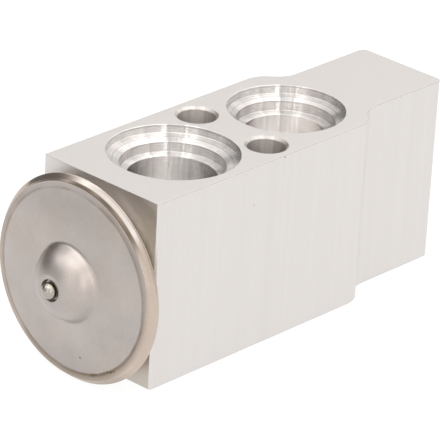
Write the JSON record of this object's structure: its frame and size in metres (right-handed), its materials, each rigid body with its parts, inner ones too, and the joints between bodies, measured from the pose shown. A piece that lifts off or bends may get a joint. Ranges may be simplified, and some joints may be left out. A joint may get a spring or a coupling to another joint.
{
  "type": "expansion valve",
  "caption": "Block expansion valve for a vehicle's refrigeration loop: machined aluminium block with stepped ports, round sensing head, rod, ball valve, spring and adjusting screw.",
  "frame": {"origin": "midway between the two fixing holes, on the lower port face", "axes": "+Z along the ports towards the face with the suction port and the liquid inlet, +X along the rod from the sensing head towards the adjusting screw, +Y across the block's width"},
  "size_m": [0.0887, 0.0366, 0.0366],
  "materials": {
    "body_aluminium": "extruded and machined, satin",
    "rod_aluminium": "turned, smooth",
    "stainless": "pressed sheet, semi-bright",
    "polished_steel": "polished",
    "spring_steel": "drawn, smooth",
    "brass": "turned",
    "black_rubber": "moulded, matt"
  },
  "bodies": {
    "block": {"valve_body": "body_aluminium", "element_base": "stainless", "element_cover": "stainless", "plug_ball": "polished_steel", "diaphragm": "spring_steel", "element_gasket": "black_rubber", "rod_seal": "black_rubber", "seal_retainer": "spring_steel", "valve_seat": "brass", "superheat_spring": "spring_steel"},
    "valve_stem": {"diaphragm_pad": "brass", "sensing_rod": "rod_aluminium", "push_pin": "polished_steel", "valve_ball": "polished_steel", "ball_holder": "polished_steel", "damping_ring": "spring_steel"},
    "screw_carrier": {"screw_seal": "black_rubber"},
    "screw": {"adjusting_screw": "brass"}
  },
  "joints": [
    {"name": "valve_stroke", "type": "slide", "parent": "block", "child": "valve_stem", "axis": [1, 0, 0], "range_m": [0, 0.0008], "stiffness_N_per_m": 8000, "springref_m": -0.003, "deforming": ["diaphragm", "superheat_spring"]},
    {"name": "adjuster_travel", "type": "slide", "parent": "block", "child": "screw_carrier", "axis": [1, 0, 0], "range_m": [-0.001, 0.001], "deforming": ["superheat_spring"]},
    {"name": "adjuster_turn", "type": "hinge", "parent": "screw_carrier", "child": "screw", "pos_m": [0.0382, 0, 0.0171], "axis": [1, 0, 0], "range_deg": [-360, 360], "deforming": ["superheat_spring"]}
  ],
  "couplings": [
    {"joint": "adjuster_travel", "follows": "adjuster_turn", "m_per_rad": 0.000159}
  ]
}
